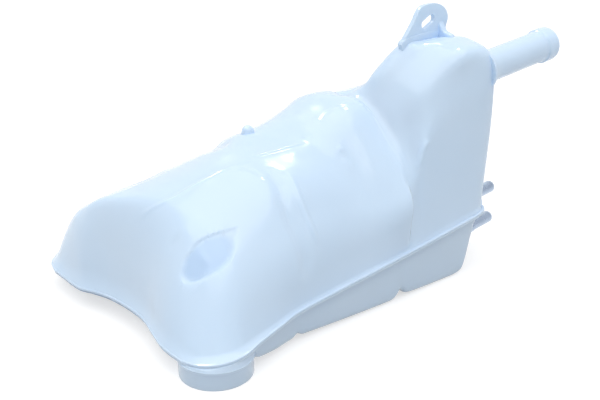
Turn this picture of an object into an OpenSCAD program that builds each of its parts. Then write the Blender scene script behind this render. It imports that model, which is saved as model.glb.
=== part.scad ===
// Coolant expansion tank, as it lies with its filler neck down.
// Two moulded shells meet at a sloping seam. Millimetres, +Z up, +X along the seam, +Y to the back.
// The origin is the middle of the filler neck's rim, on the surface that the tank lies on.

/* [Shells] */
// Wall thickness of both shells
wall = 2.6; // [1.6:0.1:3.4]
// Width of the welded rim around the seam
rim_width = 3; // [1.5:0.1:4]
// Height of the rim on each shell
rim_height = 1.6; // [1.2:0.1:1.7]
// Slope of the seam plane, rising along X
seam_slope = 6.8; // [4:0.1:10]
// Height of the seam above the neck's axis
seam_height = 17; // [15:0.5:22]
// Place of the left end wall
left_end = -21; // [-24:0.5:-19]
// Place of the right end wall
right_end = 243; // [238:0.5:250]

/* [Chambers] */
// Place of the first crease, where the first baffle stands
crease_1 = 64; // [58:1:70]
// Place of the dome's right edge, where the second baffle stands
crease_2 = 158; // [154:1:162]
// Height of the dome
dome_top = 138; // [132:1:144]
// Height of the tower that carries the spigot
tower_top = 176; // [170:1:184]
// Thickness of the inner baffles
baffle = 2.2; // [1.2:0.1:4]
// Diameter of the flow holes in the baffles
flow_hole = 14; // [8:1:20]

/* [Filler neck] */
// Outside diameter of the neck
neck_od = 46; // [44:0.5:50]
// Bore of the neck, where the cap screws in
neck_bore = 39.5; // [34:0.5:40]
// Depth of that bore
neck_depth = 9.5; // [7:0.5:10]
// Height of the neck below the shell
neck_height = 12.6; // [12.4:0.1:13]
// Diameter of the throat into the tank
throat_d = 29; // [20:0.5:31]
// Height of the throat's lip inside the tank
throat_lip = 2; // [1.6:0.1:2]

/* [Hose spigot] */
// Outside diameter of the barrel
spigot_od = 23; // [18:0.5:24]
// Bore of the spigot
spigot_bore = 17; // [12:0.5:17.5]
// Length outside the end wall
spigot_length = 72; // [45:1:85]
// Diameter of the bead that holds the hose
bead_od = 25.6; // [24:0.2:29]
// Length of the bead
bead_length = 13; // [8:1:18]
// Diameter of the spigot's root, where it leaves the tower
root_d = 27; // [25:0.5:30]
// Length of the root's taper
root_length = 10; // [8:1:16]
// Depth of the spigot's axis below the tower's top
spigot_drop = 23; // [20:0.5:26]
// Place of the spigot's axis from front to back
spigot_y = 2; // [1:0.5:6]

/* [Mounting ear] */
// Thickness of the ear
ear_thickness = 3.4; // [2:0.2:5]
// Diameter of the ear's rounded top
ear_d = 32; // [28:0.5:34]
// Width of the ear's foot
ear_foot = 47; // [44:1:50]
// Height of the slot's middle above the tower
ear_reach = 9; // [8:0.5:10]
// Place of the slot's middle along x
ear_x = 211; // [208:1:214]
// Length of the slot
slot_length = 14; // [9:0.5:16]
// Width of the slot
slot_width = 6.5; // [4.5:0.5:8]
// Slope of the slot
slot_slope = 27; // [0:1:40]

/* [Level pins] */
// Diameter of the level pins
pin_d = 9; // [6:0.5:9.5]
// Distance between the pins
pin_spacing = 25; // [22:0.5:28]
// Height of the upper pin above the seam
pin_height = 7.5; // [7:0.5:10]
// Place of both pins from front to back
pin_y = 8; // [6:1:14]
// Reach of both pins' tips beyond the end wall
pin_reach = 24; // [14:1:30]
// Length of the pins inside the tank
pin_inside = 14; // [8:1:20]
// Diameter of the boss around each pin
boss_d = 13; // [12:0.5:13.5]
// Gap around a pin in its boss
pin_clearance = 0.05; // [0.02:0.01:0.15]

/* [Hidden] */
$fn = 64;

// Points on each rounded corner of a section, and between the corners
corner_steps = 2;
middle_steps = 1;
// Largest step between two sections
section_step = 12;
// Share of a straight stretch that a corner's rounding may use
corner_share = 0.48;
// Least step between the feet of a section's points
foot_step = 0.3;
// Fullness of the rounded ends, as a power
end_fullness = 0.6;

// Neck: height of its tapered root, and the root's diameter
neck_taper = 3;
neck_root_d = neck_od + 2;
// Places of the ends and creases in the tables of lines, which follow when those move
drawn_places = [[left_end, -21], [crease_1, 64], [crease_2, 158], [right_end, 243]];
function drawn_x(x) = lookup(x, [for (place = drawn_places) [place[1], place[0]]]);

// Depth of the end wall's rounding where the spigot and the pins pass it
end_gap = 2;
// Spigot: straight stretch of the root, rise of its taper, ramp and rounding of the bead
root_flat = 8;
root_rise = 8;
bead_ramp = 2;
bead_round = 2;
// Ear: its plane, place of its rounded top from the slot's middle, right end of its foot, depth of its foot
ear_y = 33;
ear_top_shift = [4, -3.5];
ear_right = 19;
ear_sink = [12, 8];
// Pins: rounding of their ends, width and reach of the shank, depth of the upper boss behind the right end,
// depth of the lower boss behind the end wall's outside, and its length
pin_dome = 3;
shank_round = 1.5;
pin_shoulder = 1;
pin_shank_d = pin_d + 1;
upper_pin_inside = 9;
boss_depth = 18;
boss_length = 14;
// Holes in the baffles, and the nub on the crest
hole_y = 40;
upper_hole_z = 62;
nub_x = drawn_x(82);
nub_y = 74;
nub_z = 115;
nub_d = 5;
nub_height = 10;

// Plan of the seam, as [x, y]: front side and back side, without the rim
front_plan = [[-21, 2], [-18, -7], [-14, -12.5], [-8, -17], [0, -19.5], [8, -19], [18, -16],
    [40, -11], [56, -7.5], [80, -7], [150, -7.5], [225, -6.5], [236, -5.5], [240, -4], [243, -1]];
back_plan = [[-21, 166], [-18, 177], [-12, 184], [-4, 189], [8, 192], [25, 193], [50, 186], [90, 162],
    [130, 136], [170, 117], [210, 106], [232, 102], [243, 92]];
// Bow of the left end wall, as [y, shift along x]
end_bow = [[0, 0], [23, 0.5], [41, 4.5], [59, 9], [80, 10], [103, 8], [120, 3.5], [130, 0], [157, 0]];
// Length over which the left end wall rounds into the top, as [y, length]
end_round = [[-20, 34], [0, 40], [40, 34], [80, 18], [110, 11], [190, 11]];
// Reach of the bow along x, and rounding of the right end
bow_reach = 90;
right_round = 8;

// Lines that run along the upper shell, as [x, y, z]
// Top of the front wall
line_wall = [[-21, 4, 44], [-8, 0, 50], [11, -5, 54], [38, -6, 57], [64, -7, 60], [95, -5, 66],
    [128, -6, 66], [158, -13, 74], [161, -6, 80], [170, -3, 92], [176, -3, 112],
    [197, -4, 128], [215, -7, tower_top - 38], [232, -10, tower_top - 32], [243, -9, tower_top - 30]];
// Upper shoulder of the front
line_shoulder = [[-21, 26, 70], [-8, 22, 73], [11, 18, 78], [38, 17, 88], [64, 17, 98],
    [95, 16, 100], [128, 12, 92], [142, 10, 98], [158, 6, 98], [161, 8, 100], [170, 8, 110],
    [180, 2, 127], [197, -1, 143], [215, -5, tower_top - 24], [232, -10, tower_top - 18], [243, -9, tower_top - 17]];
// Ridge of the chambers, then the front edge of the tower's ramp
line_ridge = [[-21, 63, 80], [-8, 62, 85], [11, 58, 92.5], [38, 51, 103.5], [64, 47, 110.5],
    [90, 42, 112], [112, 40, 115], [126, 38, 122], [142, 38, 130], [158, 40, dome_top - 6],
    [162, 32, 124], [168, 20, 128], [180, 8, 142], [197, 3, tower_top - 18], [212, -3, tower_top - 8],
    [230, -5, tower_top - 6], [243, -3, tower_top - 10]];
// Crest
line_crest = [[-21, 86, 84], [-8, 84, 88], [11, 80, 94.5], [38, 76, 104], [64, 73, 115],
    [90, 73, 121.5], [112, 72, 126.5], [126, 70, 131], [142, 66, dome_top - 1], [158, 66, dome_top],
    [162, 52, dome_top], [172, 42, dome_top + 15], [190, 38, tower_top - 4], [205, 32, tower_top], [224, 29, tower_top],
    [238, 22, tower_top - 1], [243, 20, tower_top - 6]];
// Back of the crest
line_back = [[-21, 128, 77], [-8, 128, 79.5], [11, 125, 83], [38, 118, 90], [64, 112, 96],
    [90, 104, 106], [112, 100, 114], [126, 94, 124], [142, 90, dome_top - 6], [158, 86, dome_top - 5],
    [170, 70, dome_top - 4], [190, 62, tower_top - 38], [205, 60, tower_top - 34], [224, 58, tower_top - 32],
    [238, 54, tower_top - 34], [243, 50, tower_top - 40]];
// Edge between the top and the back wall
line_edge = [[-21, 155, 52], [-8, 162, 54], [11, 165, 58], [38, 160, 64], [64, 148, 74],
    [90, 132, 88], [112, 120, 100], [126, 112, 110], [142, 104, dome_top - 18], [158, 98, dome_top - 12],
    [170, 94, dome_top - 9], [190, 92, tower_top - 46], [205, 90, tower_top - 46], [224, 88, tower_top - 47],
    [238, 84, tower_top - 50], [243, 80, tower_top - 56]];
upper_lines = [line_wall, line_shoulder, line_ridge, line_crest, line_back, line_edge];
// Rounding of each of those lines, as [x, radius]
upper_rounding = [
    [[-21, 24], [56, 16], [100, 14], [158, 8], [243, 8]],
    [[-21, 20], [64, 16], [128, 16], [158, 14], [170, 6], [243, 6]],
    [[-21, 10], [30, 5], [64, 4], [100, 5], [126, 12], [158, 8], [243, 8]],
    [[-21, 24], [64, 20], [126, 22], [158, 14], [243, 12]],
    [[-21, 26], [64, 24], [126, 20], [158, 14], [243, 12]],
    [[-21, 24], [126, 20], [158, 18], [243, 16]]];
// Way in which each line moves from the outer face to the inner face, in walls along y and z
upper_insets = [[1, -0.4], [0.7, -0.7], [0.4, -1], [0, -1], [-0.4, -1], [-0.9, -0.7]];

// Lines that run along the lower shell's bottom, as [x, height], and their distance from the walls
floor_line = [[-21, 10], [12, 11], [25, 5], [56, 3], [60, 5.5], [66, 3],
    [143, 0.8], [150, 2], [155, 7], [160, 3], [166, 1.6], [208, 0.3], [223, 1.5],
    [232, seam_z(right_end) - 34], [237, seam_z(right_end) - 21], [243, seam_z(right_end) - 12]];
lower_front = 1.6;
lower_back = 26;
lower_rise = 1;
lower_rounding = [4, 20];

function seam_z(x) = seam_height + tan(seam_slope) * x;

// A smooth line through knots whose first value rises
function knot_slope(k, i) =
    let (a = k[max(i - 1, 0)], b = k[min(i + 1, len(k) - 1)])
    (b - a) / (b[0] - a[0]);
function knot_index(k, x, i = 0) = i >= len(k) - 2 || x <= k[i + 1][0] ? i : knot_index(k, x, i + 1);
function curve(k, x) =
    let (i = knot_index(k, x),
         h = k[i + 1][0] - k[i][0],
         t = min(1, max(0, (x - k[i][0]) / h)))
    (2 * t ^ 3 - 3 * t ^ 2 + 1) * k[i] + (t ^ 3 - 2 * t ^ 2 + t) * h * knot_slope(k, i)
    + (3 * t ^ 2 - 2 * t ^ 3) * k[i + 1] + (t ^ 3 - t ^ 2) * h * knot_slope(k, i + 1);

// The same for a line that runs along x
function along(k, x) = curve(k, lookup(x, drawn_places));

// A corner at b, rounded between the stretches from a and to c
function corner(a, b, c, r) =
    let (start = b + (a - b) * min(r / norm(a - b), corner_share),
         end = b + (c - b) * min(r / norm(c - b), corner_share))
    [for (i = [0 : corner_steps])
        let (t = i / corner_steps)
        (1 - t) ^ 2 * start + 2 * t * (1 - t) * b + t ^ 2 * end];
function between(a, b) = [for (i = [1 : middle_steps]) a + (b - a) * i / (middle_steps + 1)];

// An open outline through points, with rounded corners and always as many points
function rounded(points, radii) =
    let (last = len(points) - 1,
         corners = [for (k = [1 : last - 1]) corner(points[k - 1], points[k], points[k + 1], radii[k - 1])])
    [points[0],
     for (k = [0 : last - 2]) each concat(
         between(k == 0 ? points[0] : corners[k - 1][corner_steps], corners[k][0]), corners[k]),
     each between(corners[last - 2][corner_steps], points[last]),
     points[last]];

// Section of the upper shell at x, moved inwards by inset, whose feet stand at a height over the seam
function upper_section(x, inset, foot_z) =
    let (inner = [for (i = [0 : len(upper_lines) - 1]) let (p = along(upper_lines[i], x))
            [p[1] + upper_insets[i][0] * inset, p[2] + upper_insets[i][1] * inset]],
         radii = [for (k = upper_rounding) along(k, x)[1]])
    rounded([[along(front_plan, x)[1] + inset, seam_z(x) + foot_z],
             each inner,
             [along(back_plan, x)[1] - inset, seam_z(x) + foot_z]], radii);

// Section of the lower shell at x, likewise
function lower_section(x, inset, foot_z) =
    let (front = along(front_plan, x)[1] + inset,
         back = along(back_plan, x)[1] - inset,
         bottom = along(floor_line, x)[1] + inset)
    rounded([[front, seam_z(x) + foot_z],
             [front + lower_front, bottom],
             [back - lower_back, bottom + lower_rise],
             [back, seam_z(x) + foot_z]], lower_rounding);

// Height share of an end wall that rounds over, at a distance inside its foot
function end_share(distance, length) =
    let (t = min(1, max(0, distance / length)))
    (1 - (1 - t) ^ 2) ^ end_fullness;

// Places of the sections between two ends: close together at the ends and at the creases
end_steps = [0, 0.8, 2.6, 6, 11, 18, 27, 38];
right_steps = [9, 4.5, 2, 0.6, 0];
crease_step = 3;
valley_end = crease_2 + 8;
left_count = ceil((crease_1 - crease_step - left_end - max(end_steps)) / section_step);
middle_count = ceil((crease_2 - crease_1 - 2 * crease_step) / section_step);
right_count = ceil((right_end - max(right_steps) - valley_end) / section_step);
function regular(from, to, count) = [for (i = [1 : 1 : count - 1]) from + (to - from) * i / count];
function places(inset) =
    let (left = left_end + inset,
         right = right_end - inset)
    [for (s = end_steps) left + s,
     each regular(left + max(end_steps), crease_1 - crease_step, left_count),
     crease_1 - crease_step, crease_1, crease_1 + crease_step,
     each regular(crease_1 + crease_step, crease_2 - crease_step, middle_count),
     crease_2 - crease_step, crease_2, crease_2 + crease_step, valley_end,
     each regular(valley_end, right - max(right_steps), right_count),
     for (s = right_steps) right - s];

// One face of a shell as rows of points
function bow_at(x, y) = curve(end_bow, y)[1] * max(0, 1 - (x - left_end) / bow_reach) ^ 2;
function placed(x, p, share, foot, foot_z) =
    let (moved = x + bow_at(x, p[0]))
    [moved,
     p[0] + max(0, foot - p[0]) * (1 - share),
     seam_z(moved) + foot_z + (p[1] - seam_z(x) - foot_z) * share];
// Foot of a section's points on the seam, never outside the front of the plan
function foot_at(x, inset, j) = along(front_plan, x)[1] + inset + foot_step * j;
function upper_face(inset, foot_z) =
    [for (x = places(inset))
        let (s = upper_section(x, inset, foot_z))
        [for (j = [0 : len(s) - 1])
            placed(x, s[j], end_share(x - left_end - inset, curve(end_round, s[j][0])[1])
                * end_share(right_end - inset - x, right_round), foot_at(x, inset, j), foot_z)]];
function lower_face(inset, foot_z) =
    [for (x = places(inset))
        let (s = lower_section(x, inset, foot_z))
        [for (j = [0 : len(s) - 1])
            placed(x, s[j], end_share(x - left_end - inset, right_round)
                * end_share(right_end - inset - x, right_round), foot_at(x, inset, j), foot_z)]];

// Indices around the edge of a grid of n by m points
function edge_loop(n, m) =
    [for (j = [0 : m - 2]) j,
     for (i = [0 : n - 2]) i * m + m - 1,
     for (j = [m - 1 : -1 : 1]) (n - 1) * m + j,
     for (i = [n - 1 : -1 : 1]) i * m];
function flat(rows) = [for (row = rows) each row];
function turned(faces, on) = on ? [for (f = faces) [f[2], f[1], f[0]]] : faces;
function grid_faces(n, m, first) =
    [for (i = [0 : n - 2]) for (j = [0 : m - 2])
        let (a = first + i * m + j, b = a + m) each [[a, b, b + 1], [a, b + 1, a + 1]]];
function band_faces(lower, upper) =
    let (n = len(lower))
    [for (i = [0 : n - 1])
        let (k = (i + 1) % n)
        each [[lower[i], lower[k], upper[k]], [lower[i], upper[k], upper[i]]]];

// Points of the rim: the edge loop moved out in plan by a distance and up by a height
function rim_points(points, loop, out, up) =
    let (n = len(loop))
    [for (i = [0 : n - 1])
        let (a = points[loop[(i + n - 1) % n]], p = points[loop[i]], b = points[loop[(i + 1) % n]],
             along = [b[0] - a[0], b[1] - a[1]],
             side = [along[1], -along[0]] / norm(along))
        [p[0] - side[0] * out, p[1] - side[1] * out, seam_z(p[0] - side[0] * out) + up]];

// A shell between an outer and an inner face, with a rim of the given height, downwards if negative
module shell(outer, inner, rim) {
    n = len(outer);
    m = len(outer[0]);
    count = n * m;
    loop = edge_loop(n, m);
    edge = len(loop);
    outer_points = flat(outer);
    inner_points = flat(inner);
    rim_root = [for (i = [0 : edge - 1]) 2 * count + i];
    rim_foot = [for (i = [0 : edge - 1]) 2 * count + edge + i];
    inner_loop = [for (k = loop) count + k];
    points = concat(outer_points, inner_points,
        rim_points(outer_points, loop, rim_width, rim),
        rim_points(outer_points, loop, rim_width, 0));
    faces = concat(turned(grid_faces(n, m, 0), true), grid_faces(n, m, count),
        band_faces(loop, rim_root), band_faces(rim_root, rim_foot), band_faces(rim_foot, inner_loop));
    polyhedron(points = points, faces = turned(faces, rim < 0), convexity = 10);
}

// A flat plate across a shell at x, from its section moved inwards by half a wall to the seam
module plate(section, x, seam) {
    last = len(section) - 1;
    middle = [for (i = [1 : last - 1]) section[i]];
    outline = concat([[section[0][0], seam]], middle, [[section[last][0], seam]]);
    translate([x - baffle / 2, 0, 0]) rotate([90, 0, 90]) linear_extrude(baffle) polygon(outline);
}
module plate_hole(x, y, z) translate([x - baffle, y, z]) rotate([0, 90, 0])
    cylinder(d = flow_hole, h = 2 * baffle);

module along_seam(x, y, z) translate([x, y, z]) rotate([0, 90 - seam_slope, 0]) children();

spigot_x = right_end - end_gap;
module spigot_body() along_seam(spigot_x, spigot_y, tower_top - spigot_drop) rotate_extrude() polygon([
    [0, -root_length],
    [root_d / 2, -root_length],
    [root_d / 2, root_flat - root_length],
    [spigot_od / 2, root_rise],
    [spigot_od / 2, spigot_length - bead_length],
    [bead_od / 2, spigot_length - bead_length + bead_ramp],
    [bead_od / 2, spigot_length - bead_round],
    [bead_od / 2 - bead_round, spigot_length],
    [0, spigot_length]]);
spigot_inside = root_length + wall;
module spigot_hole() along_seam(spigot_x, spigot_y, tower_top - spigot_drop)
    translate([0, 0, -spigot_inside]) cylinder(d = spigot_bore, h = spigot_inside + spigot_length + 1);

// Point where a line from p touches a circle, on the given side
function touch(p, centre, r, side) =
    let (d = p - centre, angle = atan2(d.y, d.x) + side * acos(r / norm(d)))
    centre + r * [cos(angle), sin(angle)];
ear_z = tower_top + ear_reach;
module ear() translate([0, ear_y + ear_thickness / 2, 0]) rotate([90, 0, 0]) linear_extrude(ear_thickness) {
    middle = [ear_x, ear_z] + ear_top_shift;
    left = [ear_x + ear_right - ear_foot, tower_top - ear_sink[0]];
    right = [ear_x + ear_right, tower_top - ear_sink[1]];
    translate(middle) circle(d = ear_d);
    polygon([left, right, touch(right, middle, ear_d / 2, 1), touch(left, middle, ear_d / 2, -1)]);
}
module ear_slot() translate([ear_x, ear_y + ear_thickness, ear_z]) rotate([90, -slot_slope, 0]) {
    straight = slot_length - slot_width;
    for (side = [-1, 1]) translate([side * straight / 2, 0, 0]) cylinder(d = slot_width, h = 2 * ear_thickness);
    translate([-straight / 2, -slot_width / 2, 0]) cube([straight, slot_width, 2 * ear_thickness]);
}

// Place of a pin's axis where it crosses the plane of the right end
upper_pin_z = seam_z(right_end) + pin_height;
lower_pin_z = upper_pin_z - pin_spacing;
// Depth of the lower boss behind the plane of the right end; the end wall leans and follows the floor line
end_wall = [for (place = floor_line) if (place[0] > 225) [place[1], drawn_x(place[0])]];
lower_pin_inside = right_end - lookup(lower_pin_z, end_wall) + boss_depth;
module pin_hole(z, inside) along_seam(right_end, pin_y, z) translate([0, 0, -inside - 1])
    cylinder(d = pin_shank_d + 2 * pin_clearance, h = inside + pin_reach);
module level_pin(z, inside) color([0.62, 0.64, 0.67]) along_seam(right_end, pin_y, z) rotate_extrude() polygon([
    [0, -inside],
    [pin_shank_d / 2 - shank_round, -inside],
    [pin_shank_d / 2, shank_round - inside],
    [pin_shank_d / 2, pin_shoulder],
    [pin_d / 2, pin_shoulder],
    [pin_d / 2, pin_reach - pin_dome],
    for (a = [15 : 15 : 90]) [pin_d / 2, pin_reach] + pin_dome * [cos(a) - 1, sin(a) - 1],
    [0, pin_reach]]);
module boss(z, inside, length) along_seam(right_end, pin_y, z) translate([0, 0, -inside])
    cylinder(d = boss_d, h = length);

module nub() translate([nub_x, nub_y, nub_z]) {
    cylinder(d = nub_d, h = nub_height - nub_d / 2);
    translate([0, 0, nub_height - nub_d / 2]) sphere(d = nub_d);
}

module upper_shell() color([0.84, 0.91, 0.98]) difference() {
    union() {
        shell(upper_face(0, rim_height), upper_face(wall, 0), rim_height);
        spigot_body();
        ear();
        nub();
        for (x = [crease_1, crease_2]) plate(upper_section(x, wall / 2, 0), x, seam_z(x + baffle));
        boss(upper_pin_z, upper_pin_inside, upper_pin_inside - end_gap);
    }
    spigot_hole();
    ear_slot();
    pin_hole(upper_pin_z, upper_pin_inside);
    for (x = [crease_1, crease_2]) {
        plate_hole(x, hole_y, seam_z(x) + flow_hole);
        plate_hole(x, hole_y, seam_z(x) + upper_hole_z);
    }
}

module lower_shell() color([0.78, 0.85, 0.93]) difference() {
    union() {
        shell(lower_face(0, -rim_height), lower_face(wall, 0), -rim_height);
        cylinder(d = neck_od, h = neck_height);
        translate([0, 0, neck_height - neck_taper]) cylinder(d1 = neck_od, d2 = neck_root_d, h = neck_taper);
        cylinder(d = throat_d + 2 * wall, h = neck_height + throat_lip);
        for (x = [crease_1, crease_2]) plate(lower_section(x, wall / 2, 0), x, seam_z(x - baffle));
        boss(lower_pin_z, lower_pin_inside, boss_length);
    }
    translate([0, 0, -1]) cylinder(d = neck_bore, h = neck_depth + 1);
    cylinder(d = throat_d, h = neck_height + throat_lip + 1);
    pin_hole(lower_pin_z, lower_pin_inside);
}

module upper_level_pin() level_pin(upper_pin_z, upper_pin_inside + pin_inside);
module lower_level_pin() level_pin(lower_pin_z, lower_pin_inside + pin_inside);

upper_shell();
lower_shell();
upper_level_pin();
lower_level_pin();
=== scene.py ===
"""Coolant expansion tank of milky plastic, lying with its filler neck down.

Lengths are in millimetres and become metres when a mesh is made. +X runs along the seam towards the hose
spigot, +Y to the back, +Z up. The shells follow the same lines as the solids, on a finer grid.
"""
import math

import bmesh
import bpy
import numpy as np
from mathutils import Matrix, Vector


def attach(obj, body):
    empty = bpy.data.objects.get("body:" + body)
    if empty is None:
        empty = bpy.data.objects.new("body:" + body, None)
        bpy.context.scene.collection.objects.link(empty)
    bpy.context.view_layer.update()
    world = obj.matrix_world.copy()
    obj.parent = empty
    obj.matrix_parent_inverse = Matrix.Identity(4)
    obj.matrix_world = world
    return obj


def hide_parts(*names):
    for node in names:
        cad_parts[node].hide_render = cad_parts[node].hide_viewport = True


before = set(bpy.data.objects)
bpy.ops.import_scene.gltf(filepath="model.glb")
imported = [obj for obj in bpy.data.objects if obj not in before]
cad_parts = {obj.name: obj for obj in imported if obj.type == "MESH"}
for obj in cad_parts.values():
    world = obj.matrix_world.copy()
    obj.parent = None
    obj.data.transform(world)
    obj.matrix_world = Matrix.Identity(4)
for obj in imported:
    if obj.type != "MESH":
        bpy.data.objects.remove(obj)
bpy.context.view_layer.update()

# Sizes of the tank, as in the solids
WALL = 2.6
RIM_WIDTH, RIM_HEIGHT = 3.0, 1.6
SEAM_SLOPE, SEAM_HEIGHT = 6.8, 17.0
LEFT_END, RIGHT_END = -21.0, 243.0
CREASE_1, CREASE_2 = 64.0, 158.0
DOME_TOP, TOWER_TOP = 138.0, 176.0
NECK_OD, NECK_BORE, NECK_DEPTH, NECK_HEIGHT, THROAT_D = 46.0, 39.5, 9.5, 12.6, 29.0
SPIGOT_OD, SPIGOT_BORE, SPIGOT_LENGTH = 23.0, 17.0, 72.0
BEAD_OD, BEAD_LENGTH = 25.6, 13.0
SPIGOT_AT = (241.0, 2.0, 153.0)
EAR_Y, EAR_THICKNESS = 33.0, 3.4
SLOT_AT, SLOT_LENGTH, SLOT_WIDTH, SLOT_SLOPE = (211.0, 185.0), 14.0, 6.5, 27.0
PIN_SHANK_D, PIN_Y, PIN_HEIGHT, PIN_SPACING, BOSS_D = 10.0, 8.0, 7.5, 25.0, 13.0
PIN_CLEARANCE = 0.05
UPPER_BOSS, LOWER_BOSS = (9.0, 7.0), (30.9, 14.0)
NECK_TAPER, NECK_ROOT_D = 3.0, 48.0
VALLEY = CREASE_2 + 4

# Short names of sizes, for the tables of points
L, R, C1, C2, D, T = LEFT_END, RIGHT_END, CREASE_1, CREASE_2, DOME_TOP, TOWER_TOP

# Plan of the seam, as (x, y)
FRONT_PLAN = [(L, 2), (-18, -7), (-14, -12.5), (-8, -17), (0, -19.5), (8, -19), (18, -16), (40, -11),
              (56, -7.5), (80, -7), (150, -7.5), (225, -6.5), (236, -5.5), (240, -4), (R, -1)]
BACK_PLAN = [(L, 166), (-18, 177), (-12, 184), (-4, 189), (8, 192), (25, 193), (50, 186), (90, 162),
             (130, 136), (170, 117), (210, 106), (232, 102), (R, 92)]
# Bow of the left end, as (y, shift), and length of its rounding, as (y, length)
END_BOW = [(0, 0), (23, 0.5), (41, 4.5), (59, 9), (80, 10), (103, 8), (120, 3.5), (130, 0), (157, 0)]
END_ROUND = [(-20, 34), (0, 40), (40, 34), (80, 18), (110, 11), (190, 11)]
BOW_REACH, RIGHT_ROUND, END_FULLNESS = 90.0, 8.0, 0.6

# Lines along the upper shell, as (x, y, z), each with its rounding, as (x, radius)
UPPER_LINES = [
    [(L, 4, 44), (-8, 0, 50), (11, -5, 54), (38, -6, 57), (C1, -7, 60), (95, -5, 66), (128, -6, 66),
     (C2, -13, 74), (C2 + 3, -6, 80), (170, -3, 92), (176, -3, 112), (197, -4, 128), (215, -7, T - 38),
     (232, -10, T - 32), (R, -9, T - 30)],
    [(L, 26, 70), (-8, 22, 73), (11, 18, 78), (38, 17, 88), (C1, 17, 98), (95, 16, 100), (128, 12, 92),
     (142, 10, 98), (C2, 6, 98), (C2 + 3, 8, 100), (170, 8, 110), (180, 2, 127), (197, -1, 143),
     (215, -5, T - 24), (232, -10, T - 18), (R, -9, T - 17)],
    [(L, 63, 80), (-8, 62, 85), (11, 58, 92.5), (38, 51, 103.5), (C1, 47, 110.5), (90, 42, 112),
     (112, 40, 115), (126, 38, 122), (142, 38, 130), (C2, 40, D - 6), (VALLEY, 32, 124), (168, 20, 128),
     (180, 8, 142), (197, 3, T - 18), (212, -3, T - 8), (230, -5, T - 6), (R, -3, T - 10)],
    [(L, 86, 84), (-8, 84, 88), (11, 80, 94.5), (38, 76, 104), (C1, 73, 115), (90, 73, 121.5),
     (112, 72, 126.5), (126, 70, 131), (142, 66, D - 1), (C2, 66, D), (VALLEY, 52, D), (172, 42, D + 15),
     (190, 38, T - 4), (205, 32, T), (224, 29, T), (238, 22, T - 1), (R, 20, T - 6)],
    [(L, 128, 77), (-8, 128, 79.5), (11, 125, 83), (38, 118, 90), (C1, 112, 96), (90, 104, 106),
     (112, 100, 114), (126, 94, 124), (142, 90, D - 6), (C2, 86, D - 5), (170, 70, D - 4),
     (190, 62, T - 38), (205, 60, T - 34), (224, 58, T - 32), (238, 54, T - 34), (R, 50, T - 40)],
    [(L, 155, 52), (-8, 162, 54), (11, 165, 58), (38, 160, 64), (C1, 148, 74), (90, 132, 88),
     (112, 120, 100), (126, 112, 110), (142, 104, D - 18), (C2, 98, D - 12), (170, 94, D - 9),
     (190, 92, T - 46), (205, 90, T - 46), (224, 88, T - 47), (238, 84, T - 50), (R, 80, T - 56)]]
UPPER_ROUNDING = [
    [(L, 24), (56, 16), (100, 14), (C2, 8), (R, 8)],
    [(L, 20), (C1, 16), (128, 16), (C2, 14), (170, 6), (R, 6)],
    [(L, 10), (30, 5), (C1, 4), (100, 5), (126, 12), (C2, 8), (R, 8)],
    [(L, 24), (C1, 20), (126, 22), (C2, 14), (R, 12)],
    [(L, 26), (C1, 24), (126, 20), (C2, 14), (R, 12)],
    [(L, 24), (126, 20), (C2, 18), (R, 16)]]
# How each of these lines moves for the inner face, as (y, z), for each millimetre of the wall
UPPER_INSETS = [(1, -0.4), (0.7, -0.7), (0.4, -1), (0, -1), (-0.4, -1), (-0.9, -0.7)]
# Points between the corners of a section, on the outer face
UPPER_POINTS = [40, 26, 30, 24, 20, 18, 30]

# Lower shell: its floor, as (x, z), how far the floor's edges lie in from the front and the back, how much
# higher the back edge is, and the roundings of the two corners
FLOOR_LINE = [(L, 10.5), (12, 11), (25, 5), (56, 3), (C1 - 4, 5.5), (C1 + 2, 3), (143, 0.8), (150, 2),
              (C2 - 3, 7), (C2 + 2, 3), (166, 1.6), (208, 0.3), (218, 0.7), (222.5, 3), (224.5, 8),
              (227, 17.5), (230.5, 30), (233, 38), (R, 42.8)]
LOWER_FRONT, LOWER_BACK, LOWER_RISE = 1.6, 26.0, 1.0
LOWER_ROUNDING = (4.0, 20.0)
LOWER_POINTS = [24, 90, 24]
# Its end wall starts to rise here
STEEP_FROM = 216.0

# Lengths of the finer sections at the two ends, and the steps between sections on the outer and inner faces
LEFT_FINE, RIGHT_FINE = 24.0, 10.0
OUTER_STEP, INNER_STEP = 1.2, 3.0
# Sections closer together than this share of a step are left out, except at the ends
CLOSEST = 0.4
# The inner faces have this share of the outer faces' points, and this many at each corner
INNER_DENSITY, INNER_CORNER = 0.4, 4
# Largest share of the way to the next corner that a rounding takes
CORNER_SHARE = 0.48
# Keeps the points apart that the end walls' rounding would bring together
APART = 0.004

# Flare of the walls into the rim, as (x, reach, height)
UPPER_FLARE = [(L, 2.3, 9), (14, 2.3, 9), (42, 1.3, 5), (R, 0.9, 3.5)]
LOWER_FLARE = [(L, 2.3, 4), (20, 2.3, 4.4), (40, 0.9, 3.5), (R, 0.6, 3)]

SEAM_TAN = math.tan(math.radians(SEAM_SLOPE))
SEAM_DIRECTION = np.array([math.cos(math.radians(SEAM_SLOPE)), 0.0, math.sin(math.radians(SEAM_SLOPE))])
# Edges sharper than this are shaded as edges
SMOOTH_ANGLE = math.radians(35)


def seam_z(x):
    """Height of the seam's plane."""
    return SEAM_HEIGHT + SEAM_TAN * x


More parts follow.
